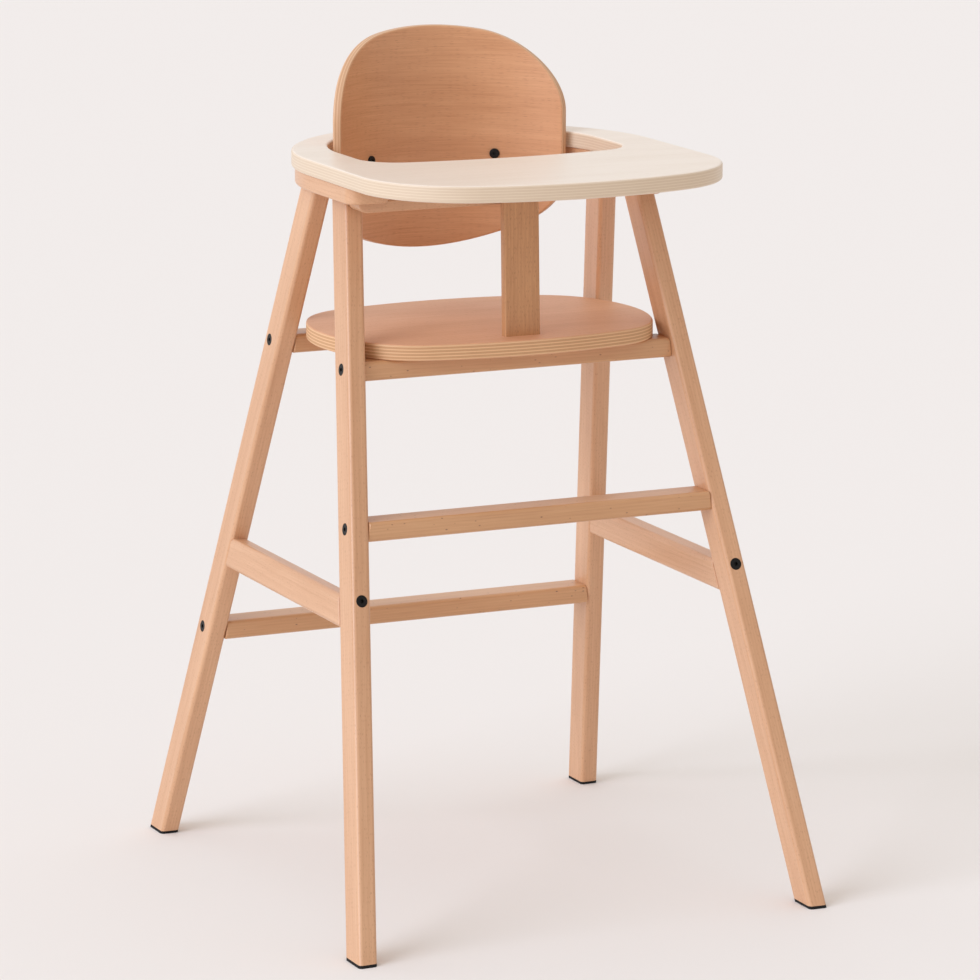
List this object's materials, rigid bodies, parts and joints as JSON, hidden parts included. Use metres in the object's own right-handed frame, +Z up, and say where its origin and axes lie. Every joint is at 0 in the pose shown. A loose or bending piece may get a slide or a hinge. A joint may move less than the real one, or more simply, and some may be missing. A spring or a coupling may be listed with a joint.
{
  "type": "baby high chair",
  "caption": "Wooden baby high chair: splayed legs, foot and seat rails, oval seat, bent backrest, crotch post, and a lift-off ring tray on horseshoe arms.",
  "frame": {"origin": "on the floor, midway between the four feet", "axes": "+Z up, the sitter faces -Y, +X to the right as seen from the front"},
  "size_m": [0.5242, 0.5821, 0.878],
  "materials": {
    "beech": "oiled beech, satin",
    "seat_plywood": "beech-faced plywood, satin lacquer",
    "back_plywood": "moulded beech plywood, satin lacquer",
    "tray_plywood": "whitened birch plywood, satin lacquer",
    "black_steel": "black oxide, satin",
    "zinc_steel": "zinc plated",
    "dowel_wood": "plain",
    "glide_rubber": "matt"
  },
  "bodies": {
    "frame": {"front_leg_left": "beech", "front_leg_right": "beech", "rear_leg_left": "beech", "rear_leg_right": "beech", "floor_glides": "glide_rubber", "seat_front_rail": "beech", "seat_rear_rail": "beech", "footrest_rail": "beech", "rear_stretcher": "beech", "side_stretcher_left": "beech", "side_stretcher_right": "beech", "left_arm": "beech", "right_arm": "beech", "rear_top_rail": "beech", "front_bar": "beech", "seat_panel": "seat_plywood", "crotch_post": "beech", "backrest": "back_plywood", "rail_bolts": "black_steel", "stretcher_bolts": "black_steel", "barrel_nuts": "zinc_steel", "frame_dowels": "dowel_wood", "arm_dowels": "dowel_wood", "arm_joint_dowels": "dowel_wood", "tray_locating_pegs": "dowel_wood", "post_pegs": "dowel_wood", "seat_screws": "zinc_steel", "post_screws": "zinc_steel", "front_bar_screws": "zinc_steel", "backrest_bolts": "black_steel", "backrest_inserts": "zinc_steel"},
    "tray": {"tray": "tray_plywood"}
  },
  "joints": [
    {"name": "tray_lift", "type": "slide", "parent": "frame", "child": "tray", "axis": [0, 0, 1], "range_m": [0, 0.15]}
  ]
}
